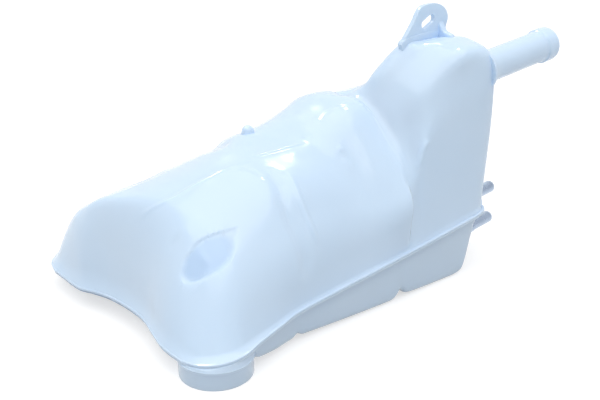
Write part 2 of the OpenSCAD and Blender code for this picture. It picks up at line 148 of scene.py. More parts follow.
def curve(knots, x):
    """Smooth line through knots whose first value rises: for each x, a row of the knots' other values."""
    knots = np.asarray(knots, float)
    at, values = knots[:, 0], knots[:, 1:]
    slopes = np.empty_like(values)
    slopes[1:-1] = (values[2:] - values[:-2]) / (at[2:] - at[:-2])[:, None]
    slopes[0] = (values[1] - values[0]) / (at[1] - at[0])
    slopes[-1] = (values[-1] - values[-2]) / (at[-1] - at[-2])
    x = np.atleast_1d(np.asarray(x, float))
    i = np.clip(np.searchsorted(at, x, side="right") - 1, 0, len(at) - 2)
    step = (at[i + 1] - at[i])[:, None]
    t = np.clip((x - at[i])[:, None] / step, 0, 1)
    return ((2 * t**3 - 3 * t**2 + 1) * values[i] + (t**3 - 2 * t**2 + t) * step * slopes[i]
            + (3 * t**2 - 2 * t**3) * values[i + 1] + (t**3 - t**2) * step * slopes[i + 1])


def rounded(points, radii, between, corner_points):
    """Outline through points, each an array of (x station, 2), with rounded corners."""
    rows = []
    start = points[0]
    t = np.linspace(0, 1, corner_points + 1)[:, None, None]
    for k in range(1, len(points) - 1):
        before, middle, after = points[k - 1], points[k], points[k + 1]
        to_before = np.linalg.norm(before - middle, axis=1)[:, None]
        to_after = np.linalg.norm(after - middle, axis=1)[:, None]
        radius = radii[k - 1][:, None]
        first = middle + (before - middle) * np.minimum(radius / to_before, CORNER_SHARE)
        last = middle + (after - middle) * np.minimum(radius / to_after, CORNER_SHARE)
        share = np.linspace(0, 1, between[k - 1] + 1)[:-1, None, None]
        rows.append(start + (first - start) * share)
        rows.append(((1 - t) ** 2 * first + 2 * t * (1 - t) * middle + t**2 * last)[:-1])
        start = last
    share = np.linspace(0, 1, between[-1] + 1)[:, None, None]
    rows.append(start + (points[-1] - start) * share)
    return np.concatenate(rows).transpose(1, 0, 2)


def end_share(distance, length):
    """Share of its full height that a section has at a distance from an end wall."""
    t = np.clip(distance / length, 0, 1)
    return (1 - (1 - t) ** 2) ** END_FULLNESS


def stations(inset, step):
    """Places of the sections: closer together at the ends and the creases."""
    left, right = LEFT_END + inset, RIGHT_END - inset
    rounding = np.linspace(0, 1, 16) ** 2
    middle = np.arange(left + LEFT_FINE, right - RIGHT_FINE, step)
    creases = [c + s for c in (CREASE_1, CREASE_2, VALLEY) for s in (-3, -2, -1, 0, 1, 2, 3)]
    places = np.sort(np.concatenate([left + LEFT_FINE * rounding, middle, right - RIGHT_FINE * rounding,
                                     creases]))
    keep = [0]
    for i in range(1, len(places) - 1):
        near_end = places[i] - left < LEFT_FINE or right - places[i] < RIGHT_FINE
        if near_end and places[i] > places[keep[-1]] or places[i] - places[keep[-1]] > CLOSEST * step:
            keep.append(i)
    return np.append(places[keep], right)


def placed(x, section, shares, inset, foot_z):
    """Moves the points of the sections to the end walls' roundings and the left end's bow."""
    y, z = section[..., 0], section[..., 1]
    station = x[:, None]
    bow = curve(END_BOW, y.ravel())[:, 0].reshape(y.shape)
    moved = station + bow * np.clip(1 - (station - LEFT_END) / BOW_REACH, 0, 1) ** 2
    foot = curve(FRONT_PLAN, x)[:, :1] + inset + APART * np.arange(y.shape[1])
    new_y = y + np.clip(foot - y, 0, None) * (1 - shares)
    new_z = seam_z(moved) + foot_z + (z - seam_z(station) - foot_z) * shares
    return np.stack([moved, new_y, new_z], -1)


def upper_face(inset, foot_z, step, density=1.0, corner_points=10):
    """Grid of points on the upper shell, a section a row, from the front foot over the top to the back."""
    x = stations(inset, step)
    feet = seam_z(x) + foot_z
    points = [np.stack([curve(FRONT_PLAN, x)[:, 0] + inset, feet], 1)]
    for line, (along_y, along_z) in zip(UPPER_LINES, UPPER_INSETS):
        points.append(curve(line, x) + np.array([along_y, along_z]) * inset)
    points.append(np.stack([curve(BACK_PLAN, x)[:, 0] - inset, feet], 1))
    radii = [curve(k, x)[:, 0] for k in UPPER_ROUNDING]
    between = [max(2, int(n * density)) for n in UPPER_POINTS]
    section = rounded(points, radii, between, corner_points)
    length = curve(END_ROUND, section[..., 0].ravel())[:, 0].reshape(section.shape[:2])
    shares = (end_share((x - LEFT_END - inset)[:, None], length)
              * end_share((RIGHT_END - inset - x)[:, None], RIGHT_ROUND))
    return placed(x, section, shares, inset, foot_z)


def lower_face(inset, foot_z, step, density=1.0, corner_points=8):
    """Grid of points on the lower shell, a section a row, from the front foot under the floor to the back."""
    x = stations(inset, step)
    feet = seam_z(x) + foot_z
    front = curve(FRONT_PLAN, x)[:, 0] + inset
    back = curve(BACK_PLAN, x)[:, 0] - inset
    # Where the end wall is steep, its thickness goes along x rather than up
    steep = 0.6 * np.clip((x - STEEP_FROM) / 6, 0, 1)
    bottom = curve(FLOOR_LINE, x + 1.6 * inset * steep)[:, 0] + inset * (1 - steep)
    points = [np.stack(p, 1) for p in ((front, feet), (front + LOWER_FRONT, bottom),
                                       (back - LOWER_BACK, bottom + LOWER_RISE), (back, feet))]
    radii = [np.full(len(x), r) for r in LOWER_ROUNDING]
    between = [max(2, int(n * density)) for n in LOWER_POINTS]
    section = rounded(points, radii, between, corner_points)
    shares = (end_share((x - LEFT_END - inset)[:, None], RIGHT_ROUND)
              * end_share((RIGHT_END - inset - x)[:, None], RIGHT_ROUND))
    return placed(x, section, shares, inset, foot_z)


def smoothed(grid, rounds):
    """Evens out the grid's inner points a little, so that no facet shows."""
    grid = grid.copy()
    for _ in range(rounds):
        middle = grid[1:-1, 1:-1]
        around = (grid[:-2, 1:-1] + grid[2:, 1:-1] + grid[1:-1, :-2] + grid[1:-1, 2:]) / 4
        grid[1:-1, 1:-1] = middle + (around - middle) * 0.5
    return grid


def edge_loop(n, m):
    """Numbers of the points all around the edge of an n by m grid."""
    return ([j for j in range(m - 1)] + [i * m + m - 1 for i in range(n - 1)]
            + [(n - 1) * m + j for j in range(m - 1, 0, -1)] + [i * m for i in range(n - 1, 0, -1)])


def outward(edge):
    """Directions in plan that point away from a closed edge line, evened out along it."""
    along = np.roll(edge, -1, 0)[:, :2] - np.roll(edge, 1, 0)[:, :2]
    away = np.stack([-along[:, 1], along[:, 0]], 1)
    for _ in range(6):
        away /= np.maximum(np.linalg.norm(away, axis=1)[:, None], 1e-9)
        away = (away * 2 + np.roll(away, 1, 0) + np.roll(away, -1, 0)) / 4
    return away / np.linalg.norm(away, axis=1)[:, None]


def rim_points(edge, away, out, up):
    """The seam's edge line moved out in plan, and up from the seam plane."""
    moved = edge[:, :2] + away * out
    return np.column_stack([moved, seam_z(moved[:, 0]) + up])


def flared(grid, edge, away, foot_z, flare):
    """Turns the foot of a wall outwards into the rim."""
    points = grid.reshape(-1, 3).copy()
    reach, height = curve(flare, points[:, 0]).T
    # The flare is lower at the front
    height = height * (0.4 + 0.6 * np.clip((points[:, 1] + 5) / 20, 0, 1))
    share = np.clip(1 - np.abs(points[:, 2] - seam_z(points[:, 0]) - foot_z) / height, 0, 1) ** 2
    for k in np.flatnonzero(share > 0):
        nearest = np.argmin(((edge[:, :2] - points[k, :2]) ** 2).sum(1))
        step = away[nearest] * reach[k] * share[k]
        points[k] += (step[0], step[1], SEAM_TAN * step[0])
    return points.reshape(grid.shape)


def mesh_object(name, points, faces):
    """An object at the origin from points in millimetres."""
    mesh = bpy.data.meshes.new(name)
    mesh.from_pydata((np.asarray(points) / 1000).tolist(), [], [list(map(int, f)) for f in faces])
    mesh.validate()
    work = bmesh.new()
    work.from_mesh(mesh)
    bmesh.ops.remove_doubles(work, verts=work.verts, dist=1e-6)
    bmesh.ops.recalc_face_normals(work, faces=work.faces)
    work.to_mesh(mesh)
    work.free()
    mesh.shade_smooth()
    mesh.set_sharp_from_angle(angle=SMOOTH_ANGLE)
    piece = bpy.data.objects.new(name, mesh)
    bpy.context.scene.collection.objects.link(piece)
    return piece


def grid_faces(n, m, first, flip):
    """Quads of an n by m grid whose points are numbered from first."""
    i, j = np.meshgrid(np.arange(n - 1), np.arange(m - 1), indexing="ij")
    a = (first + i * m + j).ravel()
    quads = np.stack([a, a + m, a + m + 1, a + 1], 1)
    return quads[:, ::-1] if flip else quads


def band_faces(lower, upper):
    """Quads between two closed rings of points."""
    k = len(lower)
    return np.array([[lower[i], lower[(i + 1) % k], upper[(i + 1) % k], upper[i]] for i in range(k)])


def shell(name, outer, inner, rim, flare):
    """A shell between two grids, with a rounded rim of the given height, downwards if negative."""
    up = math.copysign(1, rim)
    n, m = outer.shape[:2]
    ni, mi = inner.shape[:2]
    loop = edge_loop(n, m)
    edge = outer.reshape(-1, 3)[loop]
    away = outward(edge)
    outer_points = flared(outer, edge, away, rim, flare).reshape(-1, 3)
    inner_points = inner.reshape(-1, 3)
    # The rim's section from its top at the wall, as (out, height), with rounded edges
    profile = [(RIM_WIDTH - 0.5, rim), (RIM_WIDTH - 0.15, rim - 0.15 * up), (RIM_WIDTH, rim - 0.5 * up),
               (RIM_WIDTH, 0.35 * up), (RIM_WIDTH - 0.1, 0.12 * up), (RIM_WIDTH - 0.35, 0.0)]
    rings = [np.asarray(loop)]
    points = [outer_points]
    first = len(outer_points)
    # At the left end the lower shell's rim slants inwards, except at the front
    drawn_in = np.clip((40 - edge[:, :1]) / 30, 0, 1) * np.clip(edge[:, 1:2] / 15, 0, 1) * (rim < 0)
    for out, height in profile:
        points.append(rim_points(edge, away, out - 0.6 * drawn_in * abs(height) ** 1.5, height))
        rings.append(first + np.arange(len(loop)))
        first += len(loop)
    points.append(inner_points)
    inner_loop = first + np.asarray(edge_loop(ni, mi))
    faces = [grid_faces(n, m, 0, True), grid_faces(ni, mi, first, False)]
    for a, b in zip(rings[:-1], rings[1:]):
        faces.append(band_faces(a, b))
    allp = np.concatenate(points)
    faces = [f for block in faces for f in block.tolist()]
    faces += bridge(allp, list(rings[-1]), list(inner_loop))
    return mesh_object(name, allp, faces)


def bridge(points, outer, inner):
    """Triangles between two closed loops that run the same way round, with any number of points."""
    start = int(np.argmin([np.linalg.norm(points[outer[0]] - points[k]) for k in inner]))
    inner = inner[start:] + inner[:start]
    faces, i, j = [], 0, 0
    a, b = len(outer), len(inner)
    while i < a or j < b:
        next_outer, next_inner = outer[(i + 1) % a], inner[(j + 1) % b]
        here_outer, here_inner = outer[i % a], inner[j % b]
        step_outer = np.linalg.norm(points[next_outer] - points[here_inner])
        step_inner = np.linalg.norm(points[next_inner] - points[here_outer])
        if j >= b or (i < a and step_outer <= step_inner):
            faces.append([here_outer, next_outer, here_inner])
            i += 1
        else:
            faces.append([here_outer, next_inner, here_inner])
            j += 1
    return faces


def turned_profile(name, profile, origin, direction, segments=96, closed=True):
    """A solid of revolution from (radius, height) points along a direction, a ring where they are closed."""
    direction = np.asarray(direction, float)
    side = np.cross(direction, (0.0, 1.0, 0.0) if abs(direction[1]) < 0.9 else (1.0, 0.0, 0.0))
    side /= np.linalg.norm(side)
    other = np.cross(direction, side)
    angles = np.linspace(0, 2 * math.pi, segments, endpoint=False)
    around = np.cos(angles)[:, None] * side + np.sin(angles)[:, None] * other
    points, rings = [], []
    for radius, height in profile:
        rings.append(len(points))
        points += list(np.asarray(origin) + direction * height + around * radius)
    faces = []
    pairs = list(zip(rings, rings[1:] + rings[:1])) if closed else list(zip(rings, rings[1:]))
    for a, b in pairs:
        for k in range(segments):
            n = (k + 1) % segments
            faces.append([a + k, a + n, b + n, b + k])
    if not closed:
        faces.append(list(range(rings[0], rings[0] + segments))[::-1])
        faces.append(list(range(rings[-1], rings[-1] + segments)))
    return mesh_object(name, points, faces)


def arc(centre, radius, start, end, count):
    """Points on an arc, as (radius, height) pairs, with angles in degrees."""
    angles = np.radians(np.linspace(start, end, count))
    return [(centre[0] + radius * math.cos(a), centre[1] + radius * math.sin(a)) for a in angles]


def finish_modifiers(piece):
    """Makes the result of a piece's modifiers its mesh."""
    depsgraph = bpy.context.evaluated_depsgraph_get()
    mesh = bpy.data.meshes.new_from_object(piece.evaluated_get(depsgraph))
    piece.modifiers.clear()
    old = piece.data
    piece.data = mesh
    bpy.data.meshes.remove(old)
    mesh.name = piece.name


def bevelled(piece, width, sharper_than):
    """Bevels the edges of a piece that are sharper than an angle in degrees."""
    modifier = piece.modifiers.new("edges", "BEVEL")
    modifier.width = width / 1000
    modifier.segments = 3
    modifier.limit_method = "ANGLE"
    modifier.angle_limit = math.radians(sharper_than)
    finish_modifiers(piece)
    return piece


def combine(piece, tools, operation):
    """Joins or cuts a piece with tools, which are then removed."""
    for tool in tools:
        modifier = piece.modifiers.new(operation.lower(), "BOOLEAN")
        modifier.operation = operation
        modifier.object = tool
        modifier.solver = "MANIFOLD"
        finish_modifiers(piece)
        bpy.data.objects.remove(tool)
    piece.data.shade_smooth()
    piece.data.set_sharp_from_angle(angle=SMOOTH_ANGLE)
    return piece


# Camera at the photograph's viewing point
camera_data = bpy.data.cameras.new("camera")
camera_data.sensor_width = 36.0
camera_data.lens = 54.0
camera_data.clip_start = 0.01
camera = bpy.data.objects.new("camera", camera_data)
camera.location = (-0.2685, -0.3965, 0.2913)
camera.rotation_euler = (math.radians(90 - 20.7), 0.0, math.radians(-40.2))
bpy.context.scene.collection.objects.link(camera)
bpy.context.scene.camera = camera
bpy.context.scene.view_settings.view_transform = "Standard"

# Small forms of the upper shell, as (path, width, height), height negative where they sink in
FORMS = [
    # Edge of the top strip on the left chamber
    ([(-5, 80, 76), (2, 69, 85), (12, 60, 92), (21, 58, 96), (34, 54, 101), (49, 50, 107),
      (57, 48, 109)], 1.3, 0.75),
    # Valley between the left and the middle chamber, and the fold beside it
    ([(66, 38, 107), (68, 24, 100), (64, 14, 92), (63, 7, 82), (65, -2, 66), (66, -6, 56),
      (65, -8, 40)], 4.5, -1.8),
    ([(80, 28, 103), (78, 22, 100), (76, 13, 92), (76, 5, 81), (77, 0, 72), (79, -4, 62)], 2.1, 1.1),
    # Faint line from the ridge to the valley
    ([(52, 47, 107), (59, 40, 106), (61, 31, 103), (67, 27, 102)], 1.2, -0.35),
    # Humps and hollows along the crest
    ([(-12, 136, 73), (6, 129, 79), (22, 122, 85)], 11.0, -1.6),
    ([(29, 111, 91), (31, 119, 87), (33, 130, 82)], 5.2, -2.8),
    ([(66, 84, 109), (68, 91, 107), (73, 107, 100), (74, 118, 95)], 5.6, -2.5),
    ([(79, 72, 117), (81, 89, 112), (83, 102, 107)], 8.0, 1.8),
    ([(121, 106, 113), (129, 99, 120)], 9.5, -3.6),
    ([(161, 64, 137), (166, 60, 140), (173, 55, 146)], 7.0, -2.6),
    # Edge of the ridge on the middle chamber
    ([(66, 49, 111), (72, 47, 112), (88, 45, 113), (108, 42, 115)], 1.2, 0.65),
    # Edge along the front of the dome
    ([(124, 47, 123), (130, 50, 128), (137, 49, 130), (148, 47, 133), (156, 47, 134)], 1.4, 0.4),
    # Fills the groove between the dome and the tower
    ([(160, 62, 135), (162, 46, 132), (162.5, 32, 124), (162.5, 20, 113), (162, 8, 100),
      (161, -4, 84)], 3.6, 1.5),
    # Foot of the ear, which the ramp rises to
    ([(170, 42, 153), (177, 39, 160), (184, 36, 166), (191, 33, 171)], 8.0, 3.0),
    # Fold at the foot of the tower
    ([(170, -3, 94), (172, -3, 101), (175, -3, 108), (180, -3, 113)], 2.0, 0.9)]
# Dents and humps, as (middle, width, height)
DENTS = [((-1, 41, 72), 3.0, -0.8), ((5, 37, 79), 5.0, 0.5), ((5, 16, 68), 2.4, 0.9),
         ((55, 17, 91), 6.0, 0.4), ((93, 37, 110), 5.0, 0.3), ((112, 45, 117), 2.4, 0.5),
         ((125, 27, 110), 2.6, 0.6), ((125, 20, 101), 3.0, 0.6)]
# Corners of the leaf-shaped recess, along its upper edge and back along its lower one
LEAF = [(31, 16, 82), (8, 26, 76), (2, 27, 70), (-5, 26, 60), (-8, 22, 54), (-4, 14, 55), (8, 6, 62),
        (17, 5, 67), (26, 12, 77)]
# How many corners its upper edge has, its depth, how wide its edges are, and what the lower edge adds to that
LEAF_UPPER_CORNERS, LEAF_DEPTH, LEAF_EDGE, LEAF_LOWER_EDGE = 5, 2.4, 0.8, 1.7
# A form narrower than NARROW gets a finer mesh, and one of BROAD or more runs out in a round end
NARROW, BROAD = 2.7, 4.55
# Share of a narrow form's length over which it thins out at each end
THINNING = 0.18
# No point of the recess is further than this from its middle
LEAF_REACH = 34.0


def distance_to_path(points, path):
    """Distance from each point to a path, and the share of the path's length at which it lies."""
    path = np.asarray(path, float)
    lengths = np.linalg.norm(np.diff(path, axis=0), axis=1)
    total, done = lengths.sum(), 0.0
    nearest = np.full(points.shape[:-1], np.inf)
    along = np.zeros(points.shape[:-1])
    for a, b, length in zip(path[:-1], path[1:], lengths):
        t = np.clip(((points - a) @ (b - a)) / length**2, 0, 1)
        away = np.linalg.norm(points - (a + t[..., None] * (b - a)), axis=-1)
        closer = away < nearest
        nearest = np.where(closer, away, nearest)
        along = np.where(closer, (done + t * length) / total, along)
        done += length
    return nearest, along


def smooth_path(path, rounds=3):
    """Rounds a path's corners off."""
    path = np.asarray(path, float)
    for _ in range(rounds):
        cut = np.repeat(path, 2, axis=0)
        cut[1:-1:2] = path[:-1] * 0.75 + path[1:] * 0.25
        cut[2:-1:2] = path[:-1] * 0.25 + path[1:] * 0.75
        path = cut
    return path


def inside_outline(points, outline):
    """Signed distance from flat points to a closed outline, positive inside."""
    outline = np.asarray(outline, float)
    following = np.roll(outline, -1, axis=0)
    nearest = np.full(len(points), np.inf)
    inside = np.zeros(len(points), bool)
    for a, b in zip(outline, following):
        t = np.clip(((points - a) @ (b - a)) / max((b - a) @ (b - a), 1e-9), 0, 1)
        nearest = np.minimum(nearest, np.linalg.norm(points - (a + t[:, None] * (b - a)), axis=1))
        crosses = (a[1] > points[:, 1]) != (b[1] > points[:, 1])
        with np.errstate(divide="ignore", invalid="ignore"):
            at = a[0] + (points[:, 1] - a[1]) / (b[1] - a[1]) * (b[0] - a[0])
        inside ^= crosses & (points[:, 0] < at)
    return np.where(inside, nearest, -nearest)


def depth_in_leaf(points):
    """Signed distance inside the leaf's outline, seen square on to it, for points near its plane."""
    corners = np.asarray(LEAF, float)
    middle = corners.mean(0)
    axes = np.linalg.svd(corners - middle)[2]
    outline = smooth_path(np.vstack([corners, corners[:1]]), 2)
    depth = np.full(len(points), -99.0)
    near = np.linalg.norm(points - middle, axis=1) < LEAF_REACH
    depth[near] = inside_outline((points[near] - middle) @ axes[:2].T, (outline - middle) @ axes[:2].T)
    return depth


def near_path(points, path, reach):
    """Distance to a path and place along it, only worked out within reach of the path's box."""
    path = smooth_path(path)
    close = ((points > path.min(0) - reach) & (points < path.max(0) + reach)).all(1)
    away, along = np.full(len(points), np.inf), np.zeros(len(points))
    away[close], along[close] = distance_to_path(points[close], path)
    return away, along


def coordinates(mesh, what):
    """The places or normals of a mesh's points, a row for each."""
    values = np.empty(len(mesh.vertices) * 3)
    mesh.vertices.foreach_get(what, values)
    return values.reshape(-1, 3)


def split_edges(piece, cuts, wanted):
    """Refines the mesh where a test of the edges' middles says so."""
    mesh = piece.data
    ends = np.empty(len(mesh.edges) * 2, int)
    mesh.edges.foreach_get("vertices", ends)
    middles = coordinates(mesh, "co")[ends.reshape(-1, 2)].mean(1) * 1000
    work = bmesh.new()
    work.from_mesh(mesh)
    work.edges.ensure_lookup_table()
    edges = [work.edges[i] for i in np.flatnonzero(wanted(middles))]
    bmesh.ops.subdivide_edges(work, edges=edges, cuts=cuts, use_grid_fill=True)
    work.to_mesh(mesh)
    work.free()


def add_small_forms(piece):
    """Moves the upper shell's faces for its folds, hollows, dents and the leaf-shaped recess."""
    narrow = [path for path, width, height in FORMS if width < NARROW]
    split_edges(piece, 1, lambda at: np.min([near_path(at, path, 4)[0] for path in narrow], axis=0) < 3)
    split_edges(piece, 2, lambda at: np.abs(depth_in_leaf(at) - 0.4) < 2.0)
    mesh = piece.data
    points, out = coordinates(mesh, "co") * 1000, coordinates(mesh, "normal")
    x, z = points[:, 0], points[:, 2]
    middle = np.column_stack([np.clip(x, 15, 225), np.full(len(x), 50.0), np.interp(x, [140, 185], [45, 85])])
    # The inner face, whose normals point into the tank, follows the outer one
    side = np.where(((points - middle) * out).sum(1) > 0, 1, -1)
    shift = np.zeros(len(points))
    for path, width, height in FORMS:
        away, along = near_path(points, path, 3 * width)
        # A wide form runs out in a round end, a narrow one thins out before its end
        ends = np.clip(np.minimum(along, 1 - along) / THINNING, 0, 1) if width < BROAD else 1.0
        shift += height * np.exp(-(away / width) ** 2) * (3 * ends**2 - 2 * ends**3)
    for centre, width, height in DENTS:
        away = np.linalg.norm(points - np.asarray(centre, float), axis=1)
        shift += height * np.exp(-(away / width) ** 2)
    from_upper = distance_to_path(points, LEAF[:LEAF_UPPER_CORNERS])[0]
    from_lower = distance_to_path(points, LEAF[LEAF_UPPER_CORNERS - 1:] + LEAF[:1])[0]
    lower_share = from_upper / (from_upper + from_lower)
    deep = LEAF_DEPTH * np.clip(0.4 + 0.7 * lower_share, 0, 1)
    edge = LEAF_EDGE + LEAF_LOWER_EDGE * np.clip(2.4 * lower_share - 1.2, 0, 1)
    share = np.clip(depth_in_leaf(points) / edge + 0.4, 0, 1)
    # The recess is shallower at its right tip, and nothing moves close to the seam
    shift -= deep * share * np.clip((34 - x) / 16, 0.2, 1)
    points += out * (shift * side * np.clip((z - seam_z(x) - 4) / 6, 0, 1))[:, None]
    mesh.vertices.foreach_set("co", (points / 1000).ravel())
    mesh.update()
    mesh.set_sharp_from_angle(angle=SMOOTH_ANGLE)


def spigot_solid():
    """The hose spigot: a flared root, the barrel and a soft bead at its end. Its bore is cut later."""
    r, bead = SPIGOT_OD / 2, BEAD_OD / 2
    bead_at = SPIGOT_LENGTH - BEAD_LENGTH
    profile = [(0.01, -7), (15.5, -7), (15.3, -5)]
    profile += [(r + 3.6 * (1 - math.sin(a)), -5 + 13 * (1 - math.cos(a)))
                for a in np.radians(np.linspace(6, 90, 14))]
    profile += [(r, bead_at - 1.5), (r + 0.15, bead_at - 0.6)]
    profile += [(r + (bead - r) * (0.5 - 0.5 * math.cos(a)), bead_at + 2.4 * a / math.pi)
                for a in np.linspace(0.6, math.pi, 8)]
    profile += [(bead, SPIGOT_LENGTH - 3.2)]
    profile += arc((bead - 2.0, SPIGOT_LENGTH - 2.0), 2.0, 0, 90, 8)
    profile += [(SPIGOT_BORE / 2 - 0.5, SPIGOT_LENGTH), (0.01, SPIGOT_LENGTH)]
    return turned_profile("spigot", profile, SPIGOT_AT, SEAM_DIRECTION, closed=False)


def spigot_bore():
    """What the bore takes away, with a rounded mouth."""
    r = SPIGOT_BORE / 2
    profile = [(0.01, -14), (r, -14), (r, SPIGOT_LENGTH - 1.0), (r + 0.3, SPIGOT_LENGTH - 0.4),
               (r + 1.0, SPIGOT_LENGTH + 0.1), (r + 1.2, SPIGOT_LENGTH + 2), (0.01, SPIGOT_LENGTH + 2)]
    return turned_profile("spigot_bore", profile, SPIGOT_AT, SEAM_DIRECTION, closed=False)


def plate_from_outline(name, outline, y_front, y_back):
    """A plate in a plane of constant Y from an (x, z) outline."""
    count = len(outline)
    points = [(x, y_front, z) for x, z in outline] + [(x, y_back, z) for x, z in outline]
    faces = [list(range(count)), list(range(2 * count - 1, count - 1, -1))]
    faces += [[k, (k + 1) % count, count + (k + 1) % count, count + k] for k in range(count)]
    return mesh_object(name, points, faces)


def slot_cutter():
    """What the ear's slot takes away: a long hole with round ends, on a slope."""
    straight, radius = (SLOT_LENGTH - SLOT_WIDTH) / 2, SLOT_WIDTH / 2
    slope = math.radians(SLOT_SLOPE)
    points = []
    for side, start in ((1, -90), (-1, 90)):
        for a in np.radians(np.linspace(start, start + 180, 10)):
            u, v = side * straight + radius * math.cos(a), radius * math.sin(a)
            points.append((SLOT_AT[0] + u * math.cos(slope) - v * math.sin(slope),
                           SLOT_AT[1] + u * math.sin(slope) + v * math.cos(slope)))
    return plate_from_outline("slot", points, EAR_Y - 6, EAR_Y + 6)


# Outline of the ear, as (x, z), from the left foot over the top to the right foot
EAR_OUTLINE = [(192, 156), (188.5, 161), (186.6, 166), (185.8, 170), (187.4, 174.6), (192.6, 181),
               (197.4, 187.2), (199.6, 191.6), (203, 195.8), (208, 197), (214, 197.4), (220, 197),
               (226, 194.8), (230, 191.5), (232, 187.5), (232, 184), (230.6, 181), (229.8, 177), (230, 170),
               (230, 160)]
# Outline of the ear's thicker foot, and that foot's thickness
EAR_FOOT = [(190, 160), (186, 168), (184, 173), (190, 175.5), (200, 177), (214, 178), (226, 177.5),
            (229, 175.5), (230, 168), (230, 160)]
EAR_FOOT_THICKNESS = 4.0


def ear_pieces():
    """The mounting ear with a thicker foot and a gusset at its right."""
    half, foot_half = EAR_THICKNESS / 2, EAR_FOOT_THICKNESS / 2
    plate = plate_from_outline("ear", smooth_path(EAR_OUTLINE, 2), EAR_Y - half, EAR_Y + half)
    foot = plate_from_outline("ear_foot", smooth_path(EAR_FOOT, 1), EAR_Y - foot_half, EAR_Y + foot_half)
    rib_points = []
    for x in (222.5, 227.5):
        rib_points += [(x, EAR_Y - 15, 168), (x, EAR_Y - 13, 175.5), (x, EAR_Y - 6, 177.5), (x, EAR_Y, 186),
                       (x, EAR_Y, 168)]
    faces = [[4, 3, 2, 1, 0], [5, 6, 7, 8, 9]] + [[k, (k + 1) % 5, 5 + (k + 1) % 5, 5 + k] for k in range(5)]
    rib = mesh_object("ear_rib", rib_points, faces)
    return [bevelled(plate, 0.7, 50), bevelled(foot, 0.3, 50), bevelled(rib, 1.2, 30)]


def nub_solid():
    """The small round nub on the crest."""
    profile = [(0.01, 112), (4.6, 112), (4.6, 118), (4.3, 119)] + arc((0, 119), 4.2, 6, 89, 10)
    return turned_profile("nub", profile, (84, 75.5, 0), (0, 0, 1), 48, closed=False)


def end_pad():
    """The rounded pad on the end wall around the upper pin, which ends just above the seam."""
    profile = [(7.0 * math.cos(a), 4.4 * math.sin(a)) for a in np.radians(np.linspace(-89, 89, 15))]
    pad = turned_profile("pad", profile, (RIGHT_END - 1, 4, 50.5), SEAM_DIRECTION, 48, closed=False)
    for corner in pad.data.vertices:
        corner.co.z = max(corner.co.z, (seam_z(corner.co.x * 1000) + 0.4) / 1000)
    return pad


def boss_solid(name, z, inside, length):
    """The boss that holds a level pin, from a depth inside the end wall, with a rounded end."""
    at = np.array([RIGHT_END, PIN_Y, z]) - SEAM_DIRECTION * inside
    r = BOSS_D / 2
    profile = [(0.01, 0), (r, 0), (r, length - 0.8)]
    profile += arc((r - 0.8, length - 0.8), 0.8, 10, 90, 5) + [(0.01, length)]
    return turned_profile(name, profile, at, SEAM_DIRECTION, 64, closed=False)


def pin_bore(name, z, inside):
    """What a level pin's hole takes away."""
    at = np.array([RIGHT_END, PIN_Y, z]) - SEAM_DIRECTION * (inside + 2)
    radius = PIN_SHANK_D / 2 + PIN_CLEARANCE
    return turned_profile(name, [(0.01, 0), (radius, 0), (radius, inside + 24), (0.01, inside + 24)],
                          at, SEAM_DIRECTION, 64, closed=False)


def neck_solid():
    """The filler neck: outer skirt with a rounded rim, its bore and throat in one profile."""
    r, bore, throat = NECK_OD / 2, NECK_BORE / 2, THROAT_D / 2
    profile = arc((r - 0.7, 0.7), 0.7, 0, -90, 6) + arc((bore + 0.5, 0.5), 0.5, -90, -180, 5)
    profile += [(bore, NECK_DEPTH - 0.8)] + arc((bore - 0.8, NECK_DEPTH - 0.8), 0.8, 0, 90, 5)
    profile += arc((throat + 0.6, NECK_DEPTH + 0.6), 0.6, -90, -180, 5)
    profile += [(throat, NECK_HEIGHT + 1.4)] + arc((throat + 0.6, NECK_HEIGHT + 1.4), 0.6, 180, 90, 4)
    profile += [(throat + WALL, NECK_HEIGHT + 2), (throat + WALL, NECK_HEIGHT),
                (NECK_ROOT_D / 2, NECK_HEIGHT), (r, NECK_HEIGHT - NECK_TAPER)]
    return turned_profile("neck", profile, (0, 0, 0), (0, 0, 1), 128)


def neck_collar():
    """Fills the angle between the neck's root and the rim, up to just under the seam."""
    inside, outside = THROAT_D / 2 + WALL, NECK_ROOT_D / 2
    profile = [(inside, 11), (outside - 0.3, 11), (outside - 0.3, 12.5), (outside - 1.0, 14),
               (outside - 1.6, 21), (inside, 21)]
    collar = turned_profile("collar", profile, (0, 0, 0), (0, 0, 1), 128)
    for corner in collar.data.vertices:
        corner.co.z = min(corner.co.z, (seam_z(corner.co.x * 1000) - 0.6) / 1000)
    return collar


def neck_plug():
    """What the neck's bore and throat take out of the lower shell's floor."""
    profile = [(0.01, -3), (NECK_BORE / 2 + 0.6, -3), (NECK_BORE / 2 + 0.6, NECK_DEPTH - 1),
               (THROAT_D / 2 + 0.6, NECK_DEPTH - 0.5), (THROAT_D / 2 + 0.6, 20), (0.01, 20)]
    return turned_profile("neck_plug", profile, (0, 0, 0), (0, 0, 1), 128, closed=False)


# Light: strength of the surroundings at the horizon and overhead, and of the wide light
WORLD_LIGHT, WIDE_LIGHT = (0.49, 0.81), 1.45
TANK_MIDDLE = (0.11, 0.06, 0.08)

